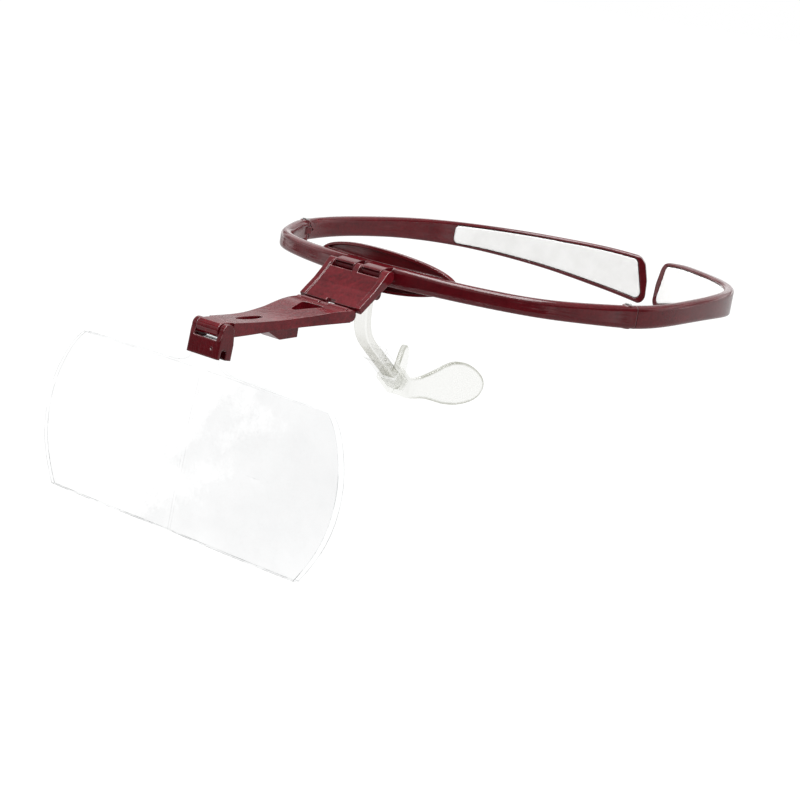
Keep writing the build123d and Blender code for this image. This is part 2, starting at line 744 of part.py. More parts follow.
# (y, z) middle line of the stem between its pivot and the socket.
STEM_LINE = [
    (STEM_P[0], STEM_P[1] - 1.0), (-6.0, -12.0), (-5.7, -16.0), (-4.6, -20.6),
    (-1.9, -24.6), (2.0, -27.75),
]
STEM_R = 0.5                    # corner radius of the stem's section
STEM_FIT = 0.3                  # play of the stem in the socket
PIP_AT = (3.5, 6.5, 9.5)        # distances of the ratchet pips down the socket
# Outline of one wing of the saddle, (rearward along the wing, z).
WING = [
    (-2.1, -38.2), (5.6, -37.4), (12.7, -33.5), (17.0, -31.2), (22.0, -31.0), (27.6, -33.6),
    (30.5, -37.8), (29.3, -42.3), (23.7, -45.8), (15.1, -46.5), (7.0, -45.3), (-2.1, -43.4),
]
WING_T = 2.0
SPLAY = radians(30.0)           # angle of each wing from the middle plane


def sock_point(distance):
    """(y, z) of the point this far down the socket from its mouth."""
    return SOCK_O[0] + distance * SOCK_DIR[0], SOCK_O[1] + distance * SOCK_DIR[1]


def sock_plane(distance):
    """Across the socket, this far down it from its mouth."""
    return Plane(origin=(0, *sock_point(distance)), x_dir=(1, 0, 0), z_dir=(0, *SOCK_DIR))


def make_nose_stem():
    with BuildPart() as stem:
        with BuildLine() as path:
            Spline(*[(0, y, z) for y, z in STEM_LINE + [sock_point(2)]],
                   tangents=((0, 0, -1), (0, *SOCK_DIR)))
        with BuildSketch(Plane(origin=path.line @ 0, x_dir=(1, 0, 0), z_dir=(0, 0, -1))):
            RectangleRounded(STEM_W, STEM_D, STEM_R)
        sweep(path=path.line)
        with BuildSketch(yz(-STEM_W / 2)):
            with Locations(STEM_P):
                Circle(1.85)
        extrude(amount=STEM_W)
        # Straight end that slides in the socket.
        with BuildSketch(sock_plane(1.9)):
            RectangleRounded(STEM_W, STEM_D, STEM_R)
        extrude(amount=11.5)
        with BuildSketch(yz(-20)):
            with Locations(STEM_P):
                Circle(STEM_PIN_R + PIN_FIT)
        extrude(amount=40, mode=Mode.SUBTRACT)
        # Three ratchet pips on the +X side.
        for distance in PIP_AT:
            with BuildSketch(yz(STEM_W / 2 - 0.2)):
                with Locations(sock_point(distance)):
                    Circle(0.5)
            extrude(amount=0.75)
    return stem.part


def make_nose_socket():
    with BuildPart() as socket:
        with BuildSketch(sock_plane(0)):
            RectangleRounded(SOCK_W, SOCK_D, SOCK_R)
        extrude(amount=SOCK_L)
        # Collar round the mouth.
        with BuildSketch(sock_plane(0)):
            RectangleRounded(8.2, 5.7, 1.2)
        extrude(amount=1.4)
        # Bore for the stem, closed at the far end.
        with BuildSketch(sock_plane(-1)):
            RectangleRounded(STEM_W + STEM_FIT, STEM_D + STEM_FIT, 0.6)
        extrude(amount=SOCK_L - 1.0, mode=Mode.SUBTRACT)
        # Groove from the mouth inside the +X wall, where the pips run.
        with BuildSketch(sock_plane(-1)):
            with Locations(((STEM_W + STEM_FIT) / 2, 0)):
                Rectangle(1.0, 1.4)
        extrude(amount=SOCK_L - 1.0, mode=Mode.SUBTRACT)
        # Long window on the +X side that shows the pips.
        with BuildSketch(sock_plane(2.4)):
            with Locations((3.9, 0)):
                Rectangle(2.4, 1.5)
        extrude(amount=15.6, mode=Mode.SUBTRACT)
    return socket.part


def make_nose_pad():
    """Soft saddle: a block over the socket's end with two splayed wings."""
    with BuildPart() as pad:
        with BuildSketch(sock_plane(13.0)):
            RectangleRounded(9.8, 7.2, 1.8)
        extrude(amount=9.0)
        for side in (1, -1):
            wing_plane = Plane(origin=(side * 3.0, 20.0, 0.0),
                               x_dir=(side * sin(SPLAY), cos(SPLAY), 0),
                               z_dir=(cos(SPLAY), -side * sin(SPLAY), 0))
            with BuildSketch(wing_plane):
                with BuildLine():
                    Spline(*WING, periodic=True)
                make_face()
            extrude(amount=WING_T / 2, both=True)
        # Room for the socket, a little larger than it.
        with BuildSketch(sock_plane(5.0)):
            RectangleRounded(SOCK_W + 0.1, SOCK_D + 0.1, SOCK_R + 0.05)
        extrude(amount=SOCK_L + 0.1 - 5.0, mode=Mode.SUBTRACT)
    return pad.part


# ---------------------------------------------------------------- export
def export(name, part):
    part.label = name
    export_step(part, f"parts/{name}.step")


os.makedirs("parts", exist_ok=True)
export("front_band", make_front_band())
export("brow_plate", make_brow_plate())
export("brow_pad", make_brow_pad())
for side, hand in ((1, "left"), (-1, "right")):
    export(hand + "_temple", make_temple(side))
    export(hand + "_temple_pad", make_temple_pad(side))
    export(hand + "_hinge_screw", make_hinge_screw(side))
export("lens_link", make_lens_link())
export("link_pin", make_pin(LINK_A, PIN_R, LINK_PIN_X, bevel=0.25))
export("elbow_pin", make_pin(LINK_B, PIN_R, ELBOW_PIN_X, bevel=0.25))
export("lens_arm", make_lens_arm())
export("lens_clip", make_lens_clip())
export("clip_pin", make_pin(CLIP_C, PIN_R, CLIP_PIN_X, bevel=0.25))
export("lens_plate", make_lens_plate())
export("nose_stem", make_nose_stem())
stem_pin_end = LUG_X[1] - 0.05
export("stem_pin", make_pin(STEM_P, STEM_PIN_R, (-stem_pin_end, stem_pin_end), bevel=0.2))
export("nose_socket", make_nose_socket())
export("nose_pad", make_nose_pad())
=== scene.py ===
"""Head visor magnifier: the looks, floor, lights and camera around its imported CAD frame.

Metres, +Z up as worn, -Y forward, so the wearer's left is +X. The twin lens hangs below the
brow plate with its seam at x = 0.
"""

import json
import math

import bmesh
import bpy
import numpy as np
from mathutils import Matrix, Vector


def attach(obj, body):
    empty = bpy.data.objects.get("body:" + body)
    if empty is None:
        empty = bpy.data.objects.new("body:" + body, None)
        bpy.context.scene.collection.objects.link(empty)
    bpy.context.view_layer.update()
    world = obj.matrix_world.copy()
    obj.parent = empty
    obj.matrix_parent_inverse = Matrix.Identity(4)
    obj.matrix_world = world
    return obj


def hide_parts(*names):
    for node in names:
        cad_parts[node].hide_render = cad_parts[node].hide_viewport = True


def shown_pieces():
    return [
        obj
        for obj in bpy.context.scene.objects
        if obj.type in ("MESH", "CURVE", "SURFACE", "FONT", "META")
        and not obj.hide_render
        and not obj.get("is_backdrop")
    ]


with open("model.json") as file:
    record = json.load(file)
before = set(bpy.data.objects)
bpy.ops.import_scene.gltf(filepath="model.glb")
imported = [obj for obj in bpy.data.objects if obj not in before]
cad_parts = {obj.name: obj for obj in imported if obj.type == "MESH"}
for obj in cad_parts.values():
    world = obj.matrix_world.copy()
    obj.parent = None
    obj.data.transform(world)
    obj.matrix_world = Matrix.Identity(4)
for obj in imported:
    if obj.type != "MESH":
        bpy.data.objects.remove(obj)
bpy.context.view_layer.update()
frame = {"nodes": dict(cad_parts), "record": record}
NODES = frame["nodes"]
SLOT_OF = {part["node"]: part["material_slot"] for part in frame["record"]["subparts"]}
scene = bpy.context.scene

MM = 0.001
X_AXIS = Vector((1, 0, 0))
WHITE = (1.0, 1.0, 1.0, 1.0)

# Square to the lens plate: across both X and the lens's slide joint.
LENS_SLOT = next(mount for mount in frame["record"]["mounts"] if mount["name"] == "lens_slot")
LENS_AXIS = X_AXIS.cross(Vector(LENS_SLOT["axis"])).normalized()
# Roughly half-way between the viewer and the softbox overhead; maroon edges turned this way get
# a painted highlight.
GLINT = Vector((0.26, -0.56, 0.79)).normalized()

# As it stands, the object is pitched forward by TILT; UP is square to the floor.
TILT = math.radians(14.96)
UP = Vector((0, -math.sin(TILT), math.cos(TILT)))

CAMERA_PLACE = Vector((0.43780112874, -0.55144314334, 0.09496044022))
CAMERA_RIGHT = Vector((0.7648264503, 0.6232164597, 0.1632229927))
CAMERA_UP = Vector((-0.2479806407, 0.0509555182, 0.9674239696))
CAMERA_AHEAD = Vector((-0.5945974291, 0.7803875829, -0.1935177451))


# ---------------------------------------------------------------- shader graphs
class Graph:
    """The shader tree of a material or world. Apart from node and finish, each method
    returns an output socket. Inputs take either a plain value or a socket to link."""

    def __init__(self, owner, coord="Object"):
        owner.use_nodes = True
        self.owner = owner
        self.tree = owner.node_tree
        self.tree.nodes.clear()
        self.coord = self.add("TexCoord", output=coord)

    def node(self, kind, inputs=None, **settings):
        new = self.tree.nodes.new("ShaderNode" + kind)
        for key, value in settings.items():
            setattr(new, key, value)
        for key, value in (inputs or {}).items():
            if isinstance(value, bpy.types.NodeSocket):
                self.tree.links.new(value, new.inputs[key])
            else:
                new.inputs[key].default_value = value
        return new

    def add(self, kind, inputs=None, output=0, **settings):
        return self.node(kind, inputs, **settings).outputs[output]

    def math(self, operation, first, second=None, clamp=False):
        inputs = {0: first} if second is None else {0: first, 1: second}
        return self.add("Math", inputs, operation=operation, use_clamp=clamp)

    def product(self, first, *others):
        for other in others:
            first = self.math("MULTIPLY", first, other)
        return first

    def dot(self, first, second):
        return self.add("VectorMath", {0: first, 1: second}, "Value", operation="DOT_PRODUCT")

    def remap(self, value, source, target):
        """Straight-line map from the source range to the target range, held at its ends."""
        return self.add("MapRange", {
            "Value": value,
            "From Min": source[0],
            "From Max": source[1],
            "To Min": target[0],
            "To Max": target[1],
        })

    def noise(self, scale, detail=3.0, rough=0.5, stretch=None):
        coord = self.coord
        if stretch:
            coord = self.add("Mapping", {"Vector": coord, "Scale": stretch})
        return self.add("TexNoise", {
            "Vector": coord,
            "Scale": scale,
            "Detail": detail,
            "Roughness": rough,
        })

    def voronoi(self, scale):
        return self.add("TexVoronoi", {"Vector": self.coord, "Scale": scale}, "Distance")

    def ramp(self, factor, stops):
        """Colours by factor; stops are (position, (red, green, blue))."""
        new = self.node("ValToRGB", {"Fac": factor})
        elements = new.color_ramp.elements
        while len(elements) < len(stops):
            elements.new(0.5)
        for element, (position, color) in zip(elements, stops):
            element.position = position
            element.color = (*color, 1.0)
        return new.outputs["Color"]

    def bevel(self, radius_mm):
        return self.add("Bevel", {"Radius": radius_mm * MM}, samples=8)

    def bump(self, height, strength, distance_mm, normal=None):
        inputs = {"Height": height, "Strength": strength, "Distance": distance_mm * MM}
        if normal:
            inputs["Normal"] = normal
        return self.add("Bump", inputs)

    def mix_colors(self, factor, first, second, blend="MIX"):
        inputs = {0: factor, 6: first, 7: second}
        return self.add("Mix", inputs, 2, data_type="RGBA", blend_type=blend)

    def mix_shaders(self, factor, first, second):
        return self.add("MixShader", {0: factor, 1: first, 2: second})

    def pass_light(self, factor, surface):
        """Lets the rays picked by factor straight through the surface, barely dimmed."""
        through = self.add("BsdfTransparent", {"Color": (0.97, 0.97, 0.97, 1.0)})
        return self.mix_shaders(factor, surface, through)

    def finish(self, surface, kind="OutputMaterial"):
        self.node(kind, {"Surface": surface})
        return self.owner


def new_graph(name):
    return Graph(bpy.data.materials.new(name))


# ---------------------------------------------------------------- opaque materials
def maroon(name, dark=(0.060, 0.0018, 0.0042), light=(0.110, 0.0040, 0.0080), radius_mm=0.50,
           rough=0.05, ripple=0.6, mottle=0.5, ior=1.47, painted_sheen=0.5):
    """Gloss moulded plastic with a painted highlight along its soft edges, flow ripples along it
    and mottling.
    """
    graph = new_graph(name)
    flow = graph.noise(scale=90.0, detail=5.0, rough=0.65, stretch=(1.0, 1.0, 2.2))
    peel = graph.noise(scale=650.0, detail=4.0, rough=0.65)
    blend = graph.product(graph.math("ADD", flow, peel), 0.5)
    tint = graph.ramp(blend, [(0.36, dark), (0.66, light)])
    fine = graph.noise(scale=1500.0, detail=2.0)
    roughness = graph.remap(fine, source=(0.3, 0.7), target=(rough - 0.02, rough + 0.05))

    # Shallow ripples, much finer up and down than along the part.
    rounded = graph.bevel(radius_mm)
    waves = graph.noise(scale=36.0, stretch=(1.0, 1.0, 9.0))
    rippled = graph.bump(waves, strength=ripple, distance_mm=0.20, normal=rounded)
    mottled = graph.bump(peel, strength=mottle, distance_mm=0.06, normal=rippled)

    # Painted highlight: rounded edges that turn up to the softbox carry a broken pale line in
    # the base colour.
    geometry = graph.node("NewGeometry")
    turn = graph.dot(rounded, geometry.outputs["Normal"])
    edge = graph.remap(turn, source=(0.985, 0.86), target=(0.0, 1.0))
    toward = graph.dot(rounded, tuple(GLINT))
    lit = graph.remap(toward, source=(0.62, 0.92), target=(0.0, 1.0))
    breaks = graph.noise(scale=160.0, detail=4.0, rough=0.6)
    broken = graph.remap(breaks, source=(0.40, 0.60), target=(0.30, 1.0))
    painted_edge_highlight = graph.product(edge, lit, broken, painted_sheen)

    return graph.finish(graph.add("BsdfPrincipled", {
        # Painted highlight: the base colour turns pinkish white along the lit edges.
        "Base Color": graph.mix_colors(painted_edge_highlight, tint, (0.66, 0.43, 0.43, 1.0)),
        "Roughness": roughness,
        "IOR": ior,
        "Normal": mottled,
    }))


def steel(name, color, rough):
    """Drawn rod: fine lengthwise scratches, slightly tarnished."""
    graph = new_graph(name)
    streak = graph.noise(scale=900.0, rough=0.6, stretch=(0.05, 1.0, 1.0))
    tarnished = tuple(c * 0.65 for c in color)
    bright = tuple(min(1, c * 1.35) for c in color)
    return graph.finish(graph.add("BsdfPrincipled", {
        "Base Color": graph.ramp(graph.noise(scale=260.0), [(0.35, tarnished), (0.7, bright)]),
        "Roughness": graph.remap(streak, source=(0.3, 0.7), target=(rough - 0.08, rough + 0.12)),
        "Normal": graph.bump(streak, strength=0.25, distance_mm=0.01),
        "Metallic": 0.9,
    }))


def soft_pad(name):
    """Soft matt inlay: fine grain with faint speckles."""
    base = (0.95, 0.95, 0.94)
    spot = (0.78, 0.78, 0.76)
    between = tuple(0.5 * (a + b) for a, b in zip(base, spot))
    graph = new_graph(name)
    cloud = graph.noise(scale=130.0, detail=5.0, rough=0.6)
    tint = graph.ramp(cloud, [(0.25, between), (0.65, base)])
    dots = graph.remap(graph.voronoi(scale=520.0), source=(0.02, 0.16), target=(1.0, 0.0))
    patches = graph.noise(scale=300.0, detail=2.0)
    sparse = graph.remap(patches, source=(0.55, 0.68), target=(0.0, 0.75))
    grain = graph.noise(scale=2600.0, rough=0.6)
    return graph.finish(graph.add("BsdfPrincipled", {
        "Base Color": graph.mix_colors(graph.product(dots, sparse), tint, (*spot, 1.0)),
        "Roughness": 0.62,
        "Sheen Weight": 0.08,
        "Normal": graph.bump(grain, strength=0.35, distance_mm=0.03),
    }))


def foam(name):
    """Dark open-cell foam rubber."""
    graph = new_graph(name)
    cloud = graph.noise(scale=300.0, detail=4.0)
    stops = [(0.3, (0.018, 0.016, 0.016)), (0.7, (0.040, 0.036, 0.035))]
    return graph.finish(graph.add("BsdfPrincipled", {
        "Base Color": graph.ramp(cloud, stops),
        "Roughness": 0.85,
        "Sheen Weight": 0.25,
        "Normal": graph.bump(graph.voronoi(scale=2600.0), strength=0.8, distance_mm=0.12),
    }))


# ---------------------------------------------------------------- clear materials
def jelly(name, middle, rim, gloss, rough, cloud, power, bevel_mm=None, outline=None,
          rim_map=None):
    """Clear moulded part seen against white, with painted shade in place of refraction: bright
    in the middle, the painted shade of colour rim where the wall turns away. Only the side
    turned to the viewer is tinted, so walls behind stay clear.

    gloss and cloud are the shares of mirror and milky scattering; power sharpens the rim.
    The painted rim shade follows the mesh attribute rim_map if given, or else the view angle,
    with a painted dark line of strength outline along the bevelled edges."""
    graph = new_graph(name)
    geometry = graph.node("NewGeometry")
    if rim_map:
        normal = {}
        turned = graph.add("Attribute", output="Fac", attribute_name=rim_map)
    else:
        rounded = graph.bevel(bevel_mm)
        normal = {"Normal": rounded}
        turned = graph.add("LayerWeight", {"Blend": 0.5, **normal}, "Facing")
    # Painted shade: darker as the wall turns away, unevenly.
    away = graph.math("POWER", turned, power)
    haze = graph.noise(scale=180.0, rough=0.55)
    vary = graph.remap(haze, source=(0.3, 0.7), target=(0.75, 1.25))
    shade = graph.math("MULTIPLY", away, vary, clamp=True)
    if not rim_map:
        # Painted shade: a dark line along the bevelled edges.
        turn = graph.dot(rounded, geometry.outputs["Normal"])
        line = graph.remap(turn, source=(0.97, 0.80), target=(0.0, outline))
        shade = graph.math("MAXIMUM", shade, line)

    # The painted shade tints the see-through colour from middle to rim.
    tint = graph.ramp(shade, [(0.0, middle), (1.0, rim)])
    see = graph.add("BsdfTransparent", {"Color": tint})
    milk_color = {"Color": (0.93, 0.935, 0.90, 1.0)}
    translucent = graph.add("BsdfTranslucent", milk_color)
    diffuse = graph.add("BsdfDiffuse", milk_color)
    milk = graph.mix_shaders(0.5, translucent, diffuse)
    body = graph.mix_shaders(cloud, see, milk)
    shine = graph.add("BsdfGlossy", {"Roughness": rough, **normal})
    surface = graph.mix_shaders(gloss, body, shine)

    rays = graph.node("LightPath")
    skip = graph.math("MAXIMUM", rays.outputs["Is Shadow Ray"], geometry.outputs["Backfacing"])
    return graph.finish(graph.pass_light(skip, surface))


def lens_body(graph, x, z):
    """Clear acrylic with painted shade: greyer on the +X half, in patches, with an uneven border
    between the halves.
    """
    wander_noise = graph.noise(scale=60.0, detail=6.0, rough=0.7)
    wander = graph.remap(wander_noise, source=(0.3, 0.7), target=(-0.030, 0.030))
    lean = graph.remap(z, source=(-0.085, -0.040), target=(0.012, -0.014))
    border = graph.math("ADD", graph.math("ADD", x, wander), lean)
    side = graph.remap(border, source=(-0.002, 0.010), target=(0.0, 1.0))
    patch_noise = graph.noise(scale=45.0, detail=6.0, rough=0.7)
    patch = graph.remap(patch_noise, source=(0.38, 0.62), target=(0.55, 1.0))
    # Painted shade: the +X half passes only about 0.88 of the light.
    stops = [(0.0, (0.998, 1.0, 1.0)), (1.0, (0.880, 0.883, 0.885))]
    wave = graph.noise(scale=30.0, rough=0.55)
    return graph.add("BsdfPrincipled", {
        "Base Color": graph.ramp(graph.product(side, patch), stops),
        "Normal": graph.bump(wave, strength=0.25, distance_mm=0.05),
        "Transmission Weight": 1.0,
        "Roughness": 0.0,
        "IOR": 1.49,
    })


def lens_rim(graph, geometry, rays):
    """Where the lens is plainly see-through: its rim, whose faces stand square to the plate,
    and the inner side of any wall the camera looks at through it."""
    flat = graph.dot(geometry.outputs["True Normal"], tuple(LENS_AXIS))
    face = graph.remap(graph.math("ABSOLUTE", flat), source=(0.30, 0.80), target=(1.0, 0.0))
    inside = graph.product(rays.outputs["Is Camera Ray"], geometry.outputs["Backfacing"])
    return graph.math("MAXIMUM", face, inside)


def lens_lines(graph, geometry, x, z):
    """Painted shade: broken dark lines on the two rim edges and a stroke at the upper -X corner,
    in place of refraction, and a painted dark line on the real seam.
    """
    turn = graph.dot(graph.bevel(radius_mm=0.30), geometry.outputs["Normal"])
    edge = graph.remap(turn, source=(0.998, 0.96), target=(0.0, 1.0))
    breaks = graph.noise(scale=110.0, detail=5.0, rough=0.7)
    broken = graph.remap(breaks, source=(0.42, 0.58), target=(0.15, 1.0))
    # Strongest along the lower edge, faint at the top but for the corner stroke.
    down = graph.remap(z, source=(-0.080, -0.031), target=(1.0, 0.20))
    corner = graph.remap(x, source=(-0.050, -0.044), target=(0.9, 0.0))
    top = graph.remap(z, source=(-0.036, -0.033), target=(0.0, 1.0))
    reach = graph.math("MAXIMUM", down, graph.product(corner, top))
    # The real seam between the domes, at x = 0, gets a painted dark line.
    from_middle = graph.math("ABSOLUTE", x)
    seam_width = graph.remap(from_middle, source=(0.00010, 0.00028), target=(0.09, 0.0))
    seam_noise = graph.noise(scale=120.0)
    seam_breaks = graph.remap(seam_noise, source=(0.46, 0.56), target=(0.0, 1.0))
    seam = graph.product(seam_width, seam_breaks)
    return graph.math("MAXIMUM", graph.product(edge, broken, reach), seam)


def lens_acrylic(name):
    """Clear twin lens with a see-through moulded rim, painted shade on its +X half and thin
    lines of painted shade.
    """
    graph = new_graph(name)
    place = graph.node("SeparateXYZ", {0: graph.coord})
    x = place.outputs["X"]
    z = place.outputs["Z"]
    geometry = graph.node("NewGeometry")
    rays = graph.node("LightPath")
    acrylic = lens_body(graph, x, z)
    see = graph.add("BsdfTransparent", {"Color": (0.975, 0.98, 0.98, 1.0)})
    body = graph.mix_shaders(lens_rim(graph, geometry, rays), acrylic, see)
    # Near-black painted shade for the lines.
    painted_line_shade = graph.add("BsdfDiffuse", {"Color": (0.03, 0.033, 0.035, 1.0)})
    lined = graph.mix_shaders(lens_lines(graph, geometry, x, z), body, painted_line_shade)
    return graph.finish(graph.pass_light(rays.outputs["Is Shadow Ray"], lined))


# ---------------------------------------------------------------- dressing the CAD pieces
MATERIALS = {
    "band_plastic": maroon("maroon_band"),
    "temple_plastic": maroon("maroon_temple"),
    # Bracket and clip get a stronger painted edge highlight.
    "bracket_plastic": maroon(
        "maroon_bracket", dark=(0.060, 0.0020, 0.0045), light=(0.155, 0.0066, 0.0125),
        ripple=0.4, mottle=0.9, painted_sheen=0.75),
    "clip_plastic": maroon("maroon_clip", radius_mm=0.70, ripple=0.3, mottle=0.9, painted_sheen=0.75),
    "pin_steel": steel("pin_steel", color=(0.20, 0.175, 0.165), rough=0.34),
    "screw_steel": steel("screw_steel", color=(0.62, 0.61, 0.60), rough=0.18),
    "temple_pad_soft": soft_pad("temple_pad"),
    "brow_pad_soft": foam("brow_foam"),
    "lens_clear": lens_acrylic("lens_acrylic"),
    # The clear parts' rim colours are painted shade where walls turn away, and outline sets a
    # painted dark edge line.
    "stem_clear": jelly(
        "stem_clear", middle=(0.930, 0.930, 0.905), rim=(0.26, 0.25, 0.18), gloss=0.06,
        rough=0.06, cloud=0.10, power=2.1, bevel_mm=0.35, outline=0.95),
    # The nose pad's painted rim shade follows the rim attribute.
    "nose_pad_soft": jelly(
        "nose_silicone", middle=(0.922, 0.925, 0.905), rim=(0.25, 0.255, 0.18), gloss=0.04,
        rough=0.30, cloud=0.15, power=1.0, rim_map="rim"),
}


def dress(piece, slot):
    piece.data.materials.clear()
    piece.data.materials.append(MATERIALS[slot])


for node_name, cad_piece in NODES.items():
    dress(cad_piece, SLOT_OF[node_name])
# The socket's rim and outline are painted shade as well.
NODES["nose_socket"].data.materials[0] = jelly(
    "socket_clear", middle=(1.0, 1.0, 0.998), rim=(0.16, 0.16, 0.12), gloss=0.03,
    rough=0.05, cloud=0.0, power=6.0, bevel_mm=0.18, outline=0.62)
# The brow plate is less glossy than the band.
NODES["brow_plate"].data.materials[0] = maroon(
    "maroon_plate", dark=(0.085, 0.0024, 0.0050), light=(0.125, 0.0040, 0.0080),
    rough=0.10, ripple=0.8, ior=1.40)


# ---------------------------------------------------------------- soft pieces
def read_vectors(vertices, attribute="co"):
    values = np.empty(len(vertices) * 3)
    vertices.foreach_get(attribute, values)
    return values.reshape(-1, 3)


def write_places(mesh, places):
    mesh.vertices.foreach_set("co", places.ravel())
    mesh.update()


def edge_ends(mesh):
    """The two vertex numbers of every edge, as two columns."""
    ends = np.empty(len(mesh.edges) * 2, np.int64)
    mesh.edges.foreach_get("vertices", ends)
    return ends.reshape(-1, 2).T


def welded_copy(node_name):
    """A welded copy of a CAD node's mesh."""
    bm = bmesh.new()
    bm.from_mesh(NODES[node_name].data)
    bmesh.ops.remove_doubles(bm, verts=bm.verts, dist=2e-6)
    bmesh.ops.recalc_face_normals(bm, faces=bm.faces)
    mesh = bpy.data.meshes.new(node_name + "_work")
    bm.to_mesh(mesh)
    bm.free()
    return mesh


def remeshed(mesh, name, voxel_mm):
    """A new object with even quads over the closed mesh."""
    piece = bpy.data.objects.new(name, mesh)
    scene.collection.objects.link(piece)
    remesh = piece.modifiers.new("remesh", "REMESH")
    remesh.mode = "VOXEL"
    remesh.voxel_size = voxel_mm * MM
    remesh.adaptivity = 0.0
    depsgraph = bpy.context.evaluated_depsgraph_get()
    even = bpy.data.meshes.new_from_object(piece.evaluated_get(depsgraph))
    piece.modifiers.clear()
    piece.data = even
    return piece


def relax(mesh, rounds, swell_mm):
    """Laplacian rounding, then a push back out along the normals."""
    places = read_vectors(mesh.vertices)
    starts, stops = edge_ends(mesh)
    neighbours = np.bincount(np.concatenate((starts, stops)), minlength=len(places))
    for _ in range(rounds):
        total = np.zeros_like(places)
        np.add.at(total, starts, places[stops])
        np.add.at(total, stops, places[starts])
        places = places + 0.5 * (total / neighbours[:, None].astype(float) - places)
    write_places(mesh, places)
    normals = read_vectors(mesh.vertices, "normal")
    write_places(mesh, places + normals * swell_mm * MM)
    for polygon in mesh.polygons:
        polygon.use_smooth = True


def soften(node_name, name, body, voxel_mm, rounds, swell_mm):
    """Puts a rounded piece in the place of a CAD node."""
    piece = remeshed(welded_copy(node_name), name, voxel_mm)
    relax(piece.data, rounds, swell_mm)
    dress(piece, SLOT_OF[node_name])
    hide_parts(node_name)
    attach(piece, body)
    return piece


def draw_painted_rim_shade(mesh):
    """Stores in "rim" how far each point of the nose wings has rounded over from the flat: the
    mask of the saddle's painted rim shade.
    """
    splay = math.radians(30.0)
    middle_half_mm = 4.5    # the saddle's middle reaches this far from x = 0
    blend_mm = 2.5          # and passes into the wings over this width
    middle_rim = 0.05       # the even, faint value of the middle
    spread = 0.72           # share handed on to the next vertex

    places = read_vectors(mesh.vertices)
    normals = read_vectors(mesh.vertices, "normal")
    side = np.where(places[:, 0] >= 0, 1.0, -1.0)
    flat = np.abs(normals[:, 0] * math.cos(splay) - normals[:, 1] * side * math.sin(splay))
    wing = np.clip((np.abs(places[:, 0]) / MM - middle_half_mm) / blend_mm, 0, 1)
    # Rises as the surface leaves the flat, then fades by about half on the outermost edge.
    rise = np.clip((0.97 - flat) / 0.30, 0, 1)
    fade = 1 - 0.55 * np.clip((0.70 - flat) / 0.50, 0, 1)
    rim = wing * (rise * fade) + (1 - wing) * middle_rim
    # Carry the line a little way in from the edge.
    starts, stops = edge_ends(mesh)
    for _ in range(2):
        wider = rim.copy()
        np.maximum.at(wider, starts, rim[stops] * spread)
        np.maximum.at(wider, stops, rim[starts] * spread)
        rim = wider
    mesh.attributes.new("rim", "FLOAT", "POINT").data.foreach_set("value", rim)


for side_name in ("left", "right"):
    soften(f"{side_name}_temple_pad", f"{side_name}_temple_inlay", f"{side_name}_temple_body",
           voxel_mm=0.30, rounds=5, swell_mm=0.03)
soften("brow_pad", "brow_cushion", "headband", voxel_mm=0.45, rounds=14, swell_mm=0.10)
saddle = soften("nose_pad", "nose_saddle", "nosepiece", voxel_mm=0.32, rounds=6, swell_mm=0.05)
# The mask for the nose saddle's painted rim shade.
draw_painted_rim_shade(saddle.data)


# ---------------------------------------------------------------- camera
def add_camera():
    lens = bpy.data.cameras.new("camera")
    lens.sensor_width = 36.0
    lens.lens = 92.14
    lens.clip_start = 0.01
    camera = bpy.data.objects.new("camera", lens)
    scene.collection.objects.link(camera)
    turn = Matrix((CAMERA_RIGHT, CAMERA_UP, -CAMERA_AHEAD)).transposed().to_4x4()
    camera.matrix_world = Matrix.Translation(CAMERA_PLACE) @ turn
    scene.camera = camera


add_camera()


# ---------------------------------------------------------------- floor
FLOOR_SIZE = 60.0
FLOOR_GAP = 0.0001


def lowest():
    """Height along UP of the lowest vertex of all the pieces."""
    up = np.array(UP)
    return min(float((read_vectors(p.data.vertices) @ up).min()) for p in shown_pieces())


def floor_white():
    """Lit white sweep; mirrored in gloss it is dimmer and patchy."""
    graph = new_graph("floor_white")
    stops = [(0.3, (0.90, 0.90, 0.90)), (0.7, (0.93, 0.93, 0.93))]
    tint = graph.ramp(graph.noise(scale=40.0), stops)
    rays = graph.node("LightPath")
    reflected = graph.math("SUBTRACT", rays.outputs["Is Glossy Ray"],
                           rays.outputs["Is Transmission Ray"], clamp=True)
    patch_noise = graph.noise(scale=7.0, detail=4.0, rough=0.6)
    patches = graph.remap(patch_noise, source=(0.38, 0.62), target=(0.25, 1.0))
    # Glow is 1.12 seen directly, patchy in reflections.
    glow = graph.add("Mix", {0: reflected, 2: 1.12, 3: patches}, data_type="FLOAT")
    diffuse = graph.add("BsdfDiffuse", {"Color": tint})
    emission = graph.add("Emission", {"Color": WHITE, "Strength": glow})
    emission_share = 0.88
    return graph.finish(graph.mix_shaders(emission_share, diffuse, emission))


def add_floor():
    """The plane the object stands on, by the lens's lower edge and the two temple tips."""
    mesh = bpy.data.meshes.new("floor")
    bm = bmesh.new()
    bmesh.ops.create_grid(bm, x_segments=2, y_segments=2, size=FLOOR_SIZE)
    bm.to_mesh(mesh)
    bm.free()
    floor = bpy.data.objects.new("floor", mesh)
    scene.collection.objects.link(floor)
    drop = Matrix.Translation(UP * (lowest() - FLOOR_GAP))
    floor.matrix_world = drop @ Matrix.Rotation(TILT, 4, "X")
    mesh.materials.append(floor_white())
    floor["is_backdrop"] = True


add_floor()


# ---------------------------------------------------------------- world
# Each list holds (cosine of the angle to a direction, grey value).
# The light on the object, by the camera's view direction: dimmer behind the camera.
ROOM = [(-1.0, 0.62), (-0.3, 0.80), (0.2, 1.05), (1.0, 1.05)]
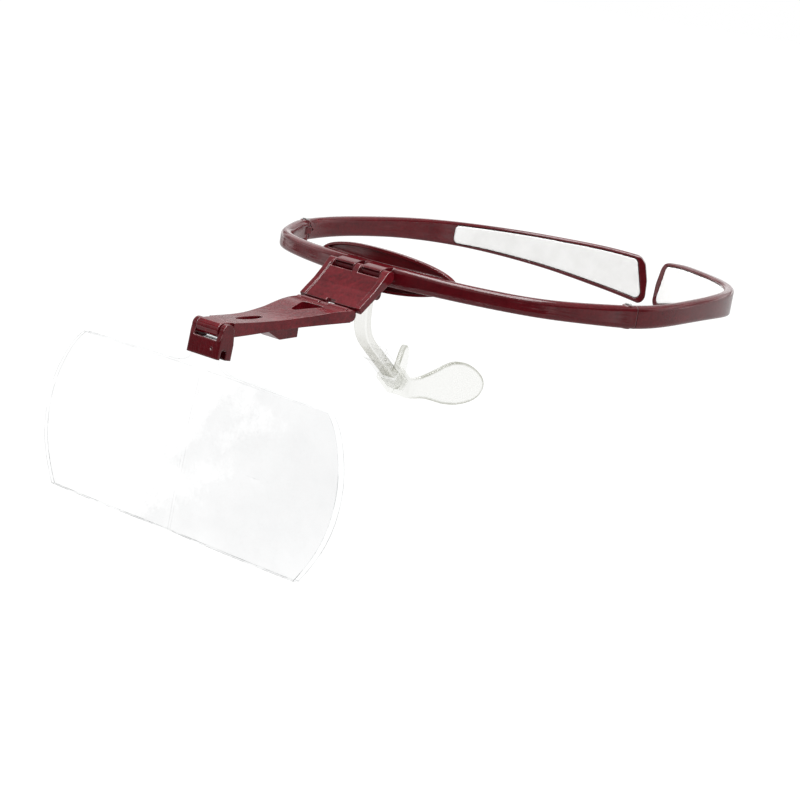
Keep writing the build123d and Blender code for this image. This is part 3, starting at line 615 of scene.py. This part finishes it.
# What gloss mirrors, by UP: a dark wall behind the camera, a pale one behind the object,
# and a bright ceiling over both.
CAMERA_SIDE = [(-1.0, 0.70), (-0.01, 0.70), (0.03, 0.12), (0.34, 0.12),
               (0.46, 0.62), (0.86, 0.75), (0.92, 9.0), (1.0, 9.0)]
FAR_SIDE = [(-1.0, 0.80), (0.0, 0.85), (0.06, 0.55), (0.22, 0.95),
            (0.52, 0.95), (0.62, 0.45), (0.86, 0.55), (0.92, 9.0), (1.0, 9.0)]
# The passage from the camera side to the far side.
SIDE_BLEND = [(-0.25, 0.0), (0.25, 1.0)]


def add_world():
    scene.world = bpy.data.worlds.new("studio")
    graph = Graph(scene.world, coord="Generated")

    def along(direction, stops):
        """Grey by the angle to direction."""
        cosine = graph.dot(graph.coord, tuple(direction.normalized()))
        factor = graph.remap(cosine, source=(-1.0, 1.0), target=(0.0, 1.0))
        return graph.ramp(factor, [((p + 1) / 2, (grey, grey, grey)) for p, grey in stops])

    level_ahead = (CAMERA_AHEAD - UP * CAMERA_AHEAD.dot(UP)).normalized()
    room = along(CAMERA_AHEAD, ROOM)
    walls = graph.mix_colors(along(level_ahead, SIDE_BLEND), along(UP, CAMERA_SIDE),
                             along(UP, FAR_SIDE))
    # Loose dark and bright shapes over the mirrored walls.
    shape_noise = graph.noise(scale=3.2, detail=4.0, rough=0.65, stretch=(1.0, 1.0, 2.6))
    shapes = graph.ramp(shape_noise, [(0.38, (0.15, 0.15, 0.15)), (0.62, (1.75, 1.75, 1.75))])
    mirrored = graph.mix_colors(1.0, walls, shapes, blend="MULTIPLY")
    rays = graph.node("LightPath")
    lighting = graph.mix_colors(rays.outputs["Is Glossy Ray"], room, mirrored)
    # Seen directly or through clear plastic the studio is plain white.
    seen = graph.math("MAXIMUM", rays.outputs["Is Camera Ray"],
                      rays.outputs["Is Transmission Ray"])
    color = graph.mix_colors(seen, lighting, WHITE)
    background = graph.add("Background", {"Color": color, "Strength": 1.0})
    graph.finish(background, kind="OutputWorld")


add_world()


# ---------------------------------------------------------------- lights
MIDDLE = Vector((0.0, 0.04, -0.02))


def softbox(name, place, size, size_y, power):
    """A rectangular light aimed at MIDDLE that shows in nothing."""
    light = bpy.data.lights.new(name, "AREA")
    light.energy = power
    light.shape = "RECTANGLE"
    light.size = size
    light.size_y = size_y
    lamp = bpy.data.objects.new(name, light)
    scene.collection.objects.link(lamp)
    lamp.location = place
    lamp.rotation_euler = (MIDDLE - place).to_track_quat("-Z", "Y").to_euler()
    lamp.visible_glossy = False
    lamp.visible_transmission = False
    lamp.visible_camera = False


softbox("softbox_top", MIDDLE + UP * 0.9 + Vector((0.10, 0.25, 0)),
        size=0.9, size_y=0.6, power=9.0)
# On the camera's left, at the wearer's right.
softbox("softbox_left", MIDDLE + Vector((-0.9, -0.25, 0.55)), size=0.5, size_y=0.7, power=4.0)


# ---------------------------------------------------------------- render settings
scene.view_settings.view_transform = "Standard"
scene.view_settings.look = "None"
scene.cycles.max_bounces = 16
scene.cycles.transmission_bounces = 16
scene.cycles.glossy_bounces = 6
scene.cycles.transparent_max_bounces = 16
scene.cycles.caustics_reflective = False
scene.cycles.caustics_refractive = False
